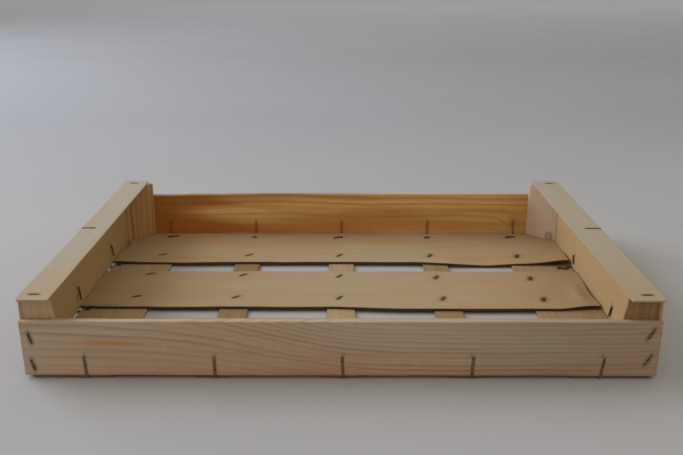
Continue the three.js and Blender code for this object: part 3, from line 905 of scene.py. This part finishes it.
class CRATE_OT_floor_slats(bpy.types.Operator):
    """Dress the three thin floor slats, which sag, split and curl round their staples"""

    bl_idname = "crate.floor_slats"
    bl_label = "Floor slats"

    def execute(self, context):
        sizes = context.scene.crate_sizes
        finish = wood_finish("floor")
        for seed, row in enumerate(FLOOR_ROWS):
            split = -47.3 * MM
            extra = split + np.array((-0.8, -0.3, 0.3, 0.8)) * MM if row == "middle" else ()
            node = f"{row}_floor_slat"
            plank = Plank(node, X, Y, sizes.floor_step, sizes.veneer_edge, 91 + seed, extra_across=extra)
            self.warp(plank, row, sizes)
            plank.saw_uneven(0.8 * MM)
            self.sway(plank, row)
            # Warmer towards both ends: painted warm shade and bounce light beside the end panels.
            plank.heart = 0.1 + 0.2 * step_up(np.abs(plank.along), 0.1, 0.28)
            if row == "middle":
                self.split_end(plank, split)
                self.draw_back(plank, sizes)
            if row == "rear":
                self.break_ends(plank)
            # Painted shade: the front edge of each slat is darkened.
            plank.darken(0.92 * bump(plank.across, -plank.size[1] / 2, 0.15 * MM))
            self.stain(plank, row, sizes)
            plank.build(finish, "floor_veneer", peeled_lines(apart=22 * MM, seed=101 + seed))
        return {"FINISHED"}

    def warp(self, plank, row, sizes):
        """Between the cross slats the front edge hangs, most of all in the last bay of the rear slat, and
        past the last staples the front corners curl up."""
        half = plank.size[1] / 2
        to_front = step_up(plank.across, 0.3 * half, -half)
        held = np.ones_like(plank.along)
        for node in CROSS_SLATS:
            held *= 1 - bump(plank.along, solid_middle(node)[0], 0.03)
        loose, lift = {"front": (0.35, 0.2), "middle": (0.3, 0.3), "rear": (0.25, 1.0)}[row]
        last = bump(plank.along, 0.185, 0.035) * (row == "rear")
        hang = loose * np.abs(ripple(plank.along, plank.seed, 0.3)) + last
        plank.warp -= sizes.sag * hang * held * to_front
        ends = step_up(plank.along, 0.238, 0.292) + 0.35 * step_up(plank.along, -0.245, -0.292)
        plank.warp += sizes.curl * lift * ends * step_up(plank.across, 0.1 * half, -half)

    def sway(self, plank, row):
        """Front edges that aren't straight: the middle slat's comes forward in its right half, and the rear
        slat's lies back but for its last bay. Only the strip beside the edge is drawn out."""
        half = plank.size[1] / 2
        beside = step_up(plank.across, 14 * MM - half, -half)
        if row == "middle":
            forward = 4.8 * MM * step_up(plank.along, -0.02, 0.085) * step_up(plank.along, 0.29, 0.24)
            plank.shift_across -= forward * beside
        if row == "rear":
            back = 1.0 + 2.0 * step_up(plank.along, -0.2, -0.1) - 5.0 * step_up(plank.along, 0.08, 0.15)
            plank.shift_across += back * MM * beside

    def split_end(self, plank, split):
        """A split that runs in from the left end, beside the front edge, darkened inside as painted shade."""
        cut = step_up(plank.along, -0.243, -0.26) * bump(plank.across, split, 0.45 * MM)
        plank.upper_cut += 1.3 * MM * cut
        # Painted shade inside the split.
        plank.darken(0.85 * cut)

    def break_ends(self, plank):
        """The left end is broken out in front of the corner post and darkened there as painted shade, and the
        right end's front corner has drawn back from the panel."""
        place = plank.across + plank.middle[1]
        broken = step_up(place, 124 * MM, 136 * MM) * step_up(place, 160 * MM, 152 * MM)
        plank.shift_along += 2.4 * MM * broken * step_up(plank.along, -0.28, -0.293)
        # Painted shade along the broken end.
        plank.darken(0.6 * broken * step_up(plank.along, -0.286, -0.293))
        corner = step_up(place, 118 * MM, 88 * MM)
        plank.shift_along -= 2.5 * MM * corner * step_up(plank.along, 0.27, 0.293)

    def draw_back(self, plank, sizes):
        """The right end draws back from the panel in a curve, with a low bulge before it."""
        half = plank.size[1] / 2
        middle = bump(plank.across, -0.35 * half, 0.5 * half)
        at_end = step_up(plank.along, 0.262, plank.size[0] / 2)
        plank.shift_along -= sizes.end_gap * at_end * (0.15 + 0.85 * middle)
        plank.warp += 0.45 * sizes.curl * middle * bump(plank.along, 0.278, 0.010)

    def stain(self, plank, row, sizes):
        """Rust round the staples and, on the outer slats, where the side wires come up."""
        staples = floor_staple_places(row)
        for place, crown, stained in staples:
            plank.blot(place, (1.4 + 2.4 * stained) * MM, stained, crown, 0.7 * sizes.floor_crown)
        if row == "middle":
            return
        for column, (_, _, stained) in zip(COLUMNS, staples):
            low, high = solid_box(f"{row}_{column}_side_wire")
            leg = high[1] if row == "front" else low[1] - REAR_LEG_DEEPER - 1 * MM
            aside = -10 * MM if (row, column) == ("rear", "far_right") else 0.0
            plank.blot(((low[0] + high[0]) / 2 + aside, leg, high[2]), 3.8 * MM, 0.15 + 0.85 * stained)


class CRATE_OT_posts(bpy.types.Operator):
    """Dress the four triangular corner posts"""

    bl_idname = "crate.posts"
    bl_label = "Corner posts"

    def execute(self, context):
        striped, tan, pink = (wood_finish(kind) for kind in ("post", "tan", "pink"))
        places = [(row, end) for row in SIDES for end in ENDS]
        for seed, ((row, end), finish) in enumerate(zip(places, (tan, striped, striped, pink))):
            self.dress(row, end, 111 + seed, finish, context.scene.crate_sizes)
        return {"FINISHED"}

    def outline(self, leg, tip, edge):
        """Right-angled section with two cut-off tips and eased corners, as an even closed path."""
        corners = np.array(((0, leg / 2), (0, 0), (leg, 0), (leg, tip), (tip, leg), (0, leg), (0, leg / 2)))
        return rounded_path(np.pad(corners, ((0, 0), (0, 1))), edge, step=0.9 * MM)[:-1, :2]

    def dress(self, row, end, seed, finish, sizes):
        """The section, carried up the post, drawn in over the eased edges at its foot and top, and let into
        the end panel. The front posts are worn narrower towards the top."""
        node = f"{row}_{end}_post"
        low, high = solid_box(node)
        outward = np.array((-1.0 if end == "left" else 1.0, -1.0 if row == "front" else 1.0))
        corner = np.where(outward < 0, low[:2], high[:2])
        leg, tall = (high - low)[[0, 2]]
        section = self.outline(leg, tip=3 * MM, edge=sizes.edge)
        worn = 0.09 if row == "front" else 0.0
        wide = {"front_left": -0.06, "front_right": 0.045, "rear_right": 0.08}.get(f"{row}_{end}", 0.0)
        if outward[0] * outward[1] < 0:
            section = section[::-1]
        level = rim_samples(tall, step=3 * MM, edge=sizes.edge)
        shrink = 1 - eased_drop(tall / 2 - np.abs(level), sizes.edge) / leg
        plan = corner - outward * (section - leg / 3)[None] * shrink[:, None, None] - outward * leg / 3
        narrow = wide - worn * step_up(level, 0.2 * tall, 0.46 * tall)
        plan[..., 0] += (plan[..., 0] - corner[0]) * (narrow[:, None] + sizes.rebate / leg)
        plan[..., 0] += outward[0] * sizes.rebate
        rise = (low[2] + high[2]) / 2 + (sizes.cap_thin - CAP_GAP) * step_up(level, 0, tall / 2)
        height = np.broadcast_to((level + rise)[:, None, None], (*plan.shape[:2], 1))
        points = np.concatenate((plan, height), axis=2).reshape(-1, 3)
        faces, index = tube_faces(*plan.shape[:2])
        ends = [index[0, ::-1].tolist(), index[-1, :].tolist()]
        across = (points[:, :2] - corner) @ (outward * (1, -1)) / math.sqrt(2)
        through = (points[:, :2] - corner) @ outward / math.sqrt(2)
        grain = np.stack((points[:, 2], across, through), axis=1)
        lines = {
            "grain": grain + seed * GRAIN_SHIFT,
            "phase": straight_lines(apart=8.5 * MM, wave=1.5 * MM, longest=0.2, seed=seed)(*grain.T),
            "knot_and_shade": np.zeros(len(points)),
        }
        if (row, end) == ("rear", "right"):
            far = np.hypot((points[:, 2] - low[2] - 4 * MM) / 1.2, across - 13 * MM)
            lines["knot_and_shade"] = 0.4 * bump(far, 0, 3 * MM) + 0.5 * bump(far, 4.6 * MM, 1.6 * MM)
        if (row, end) == ("front", "right"):
            lines["knot_and_shade"] = 0.36 + 0.15 * ripple(across, seed, 0.03)
        make_piece(node + "_surface", points, faces[:, ::-1], finish, "post_pine", (node,), ends, **lines)


class CRATE_OT_corner_wires(bpy.types.Operator):
    """Bend the wires that tie the sides, the ends and the caps"""

    bl_idname = "crate.corner_wires"
    bl_label = "Corner wires"

    def execute(self, context):
        self.tie_sides(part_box("middle_floor_slat")[1][2])
        self.tie_ends(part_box("middle_cross_slat")[1][2])
        return {"FINISHED"}

    def inside(self, node, wall):
        """How far in the inner face of a wall is."""
        return max(wall @ corner for corner in solid_box(node))

    def tie_sides(self, floor_top):
        """The folds on the floor are turned any way at the front. At the rear the far left one is long and
        points to the right, and the others point to the left and forward."""
        chance = np.random.default_rng(7)
        dull = wire_finish("dull_wire")
        brown = wire_finish("brown_wire", floor_top + 3 * MM)
        front, rear = self.inside("front_side_board", Y), self.inside("rear_side_board", -Y)
        for column, (front_lean, rear_lean, fold, turn, wave, off) in SIDE_WIRES.items():
            any_turn = math.radians(chance.uniform(15, 70)) * chance.choice((-1, 1))
            node = f"front_{column}_side_wire"
            bent = {"finish": dull, "hang": (0.8, 0)}
            corner_wire(node, Y, Z, front, floor_top, FRONT_FOLD, any_turn, front_lean * MM, **bent)
            node = f"rear_{column}_side_wire"
            bent = {"finish": brown, "hang": (0.8, off), "wide": 0.62, "deeper": REAR_LEG_DEEPER}
            turn, lean = math.radians(turn), -rear_lean * MM
            corner_wire(node, -Y, Z, rear, floor_top, fold * MM, turn, lean, wave * MM, **bent)

    def tie_ends(self, cross_top):
        """The end wires lean and stand off the panel, and the fold at the right rear is long and wavy."""
        for end, wall in zip(ENDS, (X, -X)):
            inside = self.inside(f"{end}_end_panel", wall)
            for row in SIDES:
                lean, fold, turn, wave, hang, deeper = END_WIRES[f"{row}_{end}"]
                lean *= np.sign(np.cross(wall, Z)[1]) * MM
                bent = {"hang": hang, "deeper": deeper * MM, "lower": END_WIRE_DROP[end]}
                bent |= {"thick": 1.3, "wide": 0.8}
                node = f"{row}_{end}_end_wire"
                corner_wire(node, wall, Z, inside, cross_top, fold * MM, turn, lean, wave * MM, **bent)
            under = -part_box(f"{end}_cap")[0][2]
            corner_wire(f"{end}_cap_wire", wall, -Z, inside, under, CAP_FOLD, deeper=CAP_LEG_DEEPER[end])


class CRATE_OT_frame_staples(bpy.types.Operator):
    """Drive the staples that hold the sides, the end panels and the caps to the posts"""

    bl_idname = "crate.frame_staples"
    bl_label = "Frame staples"

    def execute(self, context):
        sizes = context.scene.crate_sizes
        for node, inward, way in frame_staples():
            middle, crown, span = staple_crown(node, inward, way)
            low, high = solid_box(node)
            leg = np.abs(inward @ (high - low)) - sizes.staple_thickness
            finish = wire_finish("stapled_wire")
            if "cap" in node:
                span, finish = CAP_CROWN * span, wire_finish("rusty_wire")
            staple(node + "_bent", middle, crown, inward, span, leg, finish, (node,))
        return {"FINISHED"}


class CRATE_OT_floor_staples(bpy.types.Operator):
    """Drive the staples that hold the floor slats to the cross slats"""

    bl_idname = "crate.floor_staples"
    bl_label = "Floor staples"

    def execute(self, context):
        sizes = context.scene.crate_sizes
        finish = wire_finish("rusty_wire")
        for row in FLOOR_ROWS:
            for number, (middle, crown, _) in enumerate(floor_staple_places(row), 1):
                name = f"{row}_floor_staple_{number}"
                staple(name, middle, crown, -Z, sizes.floor_crown, FLOOR_STAPLE_LEG, finish)
        return {"FINISHED"}


class CRATE_OT_stage(bpy.types.Operator):
    """Set the floor, the lamp and the camera"""

    bl_idname = "crate.stage"
    bl_label = "Stage"

    def execute(self, context):
        stage = context.scene.crate_stage
        self.floor(context.scene, stage)
        self.light(context.scene, stage)
        self.camera(context.scene, stage)
        context.scene.view_settings.view_transform = "Standard"
        return {"FINISHED"}

    def floor(self, scene, stage):
        """A wide flat floor, a hair under the crate, of another tone behind it and lighter near the horizon,
        as painted light where the lamp doesn't reach.
        """
        reach = 12.0
        low = -0.2 * MM
        mesh = bpy.data.meshes.new("floor")
        corners = [(-reach, -reach, low), (reach, -reach, low), (reach, reach, low), (-reach, reach, low)]
        mesh.from_pydata(corners, [], [(0, 1, 2, 3)])
        graph = Graph(bpy.data.materials.new("pale_floor"))
        mottle = graph.noise(graph.place(), (3, 3, 3), 2)
        behind = graph.place("Y")
        base = graph.mix(graph.rise(behind, 0.2, 1.0), tuple(stage.floor), tuple(stage.floor_far))
        # Painted light near the horizon.
        base = graph.mix(graph.rise(behind, 2.2, 5.0), base, tuple(stage.floor_farthest_painted_light))
        base = graph.mix(1.0, base, graph.ramp(mottle, ((0.3, 0.97), (0.7, 1.0))), "MULTIPLY")
        graph.feed(graph.shader.inputs["Specular IOR Level"], 0.0)
        mesh.materials.append(graph.finish(base, 1.0, mottle, 0.1 * MM, 0.1))
        floor = bpy.data.objects.new("floor", mesh)
        scene.collection.objects.link(floor)

    def light(self, scene, stage):
        """A large soft lamp at the left, and even light from all round."""
        scene.world = bpy.data.worlds.new("sky")
        graph = Graph(scene.world)
        graph.feed(graph.shader.inputs["Color"], tuple(stage.sky))
        lamp = bpy.data.lights.new("window", "AREA")
        lamp.color = stage.lamp[:3]
        lamp.energy = stage.lamp_power
        lamp.size = stage.lamp_size
        window = bpy.data.objects.new("window", lamp)
        window.location = stage.lamp_place
        window.rotation_euler = (-window.location).to_track_quat("-Z", "Y").to_euler()
        scene.collection.objects.link(window)

    def camera(self, scene, stage):
        """The camera of the reference view."""
        camera = bpy.data.cameras.new("camera")
        camera.lens = stage.lens
        camera.sensor_width = 36
        holder = bpy.data.objects.new("camera", camera)
        holder.location = stage.eye
        holder.rotation_euler = (math.pi / 2 - stage.tilt, 0, stage.heading)
        scene.collection.objects.link(holder)
        scene.camera = holder


OPERATORS = (
    CRATE_OT_side_boards,
    CRATE_OT_end_panels,
    CRATE_OT_caps,
    CRATE_OT_cross_slats,
    CRATE_OT_floor_slats,
    CRATE_OT_posts,
    CRATE_OT_corner_wires,
    CRATE_OT_frame_staples,
    CRATE_OT_floor_staples,
    CRATE_OT_stage,
)


class CRATE_PT_pieces(bpy.types.Panel):
    """Lists the crate's pieces and what a user can change"""

    bl_idname = "CRATE_PT_pieces"
    bl_label = "Fruit crate"
    bl_space_type = "VIEW_3D"
    bl_region_type = "UI"
    bl_category = "Crate"

    def draw(self, context):
        for operator in OPERATORS:
            self.layout.operator(operator.bl_idname)
        for group in (context.scene.crate_sizes, context.scene.crate_colours, context.scene.crate_stage):
            box = self.layout.box()
            for name in group.__annotations__:
                box.prop(group, name)


GROUPS = {"crate_sizes": CrateSizes, "crate_colours": CrateColours, "crate_stage": CrateStage}


def register():
    for group in GROUPS.values():
        bpy.utils.register_class(group)
    for name, group in GROUPS.items():
        setattr(bpy.types.Scene, name, PointerProperty(type=group))
    for part in (*OPERATORS, CRATE_PT_pieces):
        bpy.utils.register_class(part)


def unregister():
    for part in (CRATE_PT_pieces, *reversed(OPERATORS)):
        bpy.utils.unregister_class(part)
    for name in GROUPS:
        delattr(bpy.types.Scene, name)
    for group in GROUPS.values():
        bpy.utils.unregister_class(group)


def main():
    """Dresses the crate piece by piece."""
    register()
    for operator in OPERATORS:
        group, name = operator.bl_idname.split(".")
        getattr(getattr(bpy.ops, group), name)()


if __name__ == "__main__":
    main()
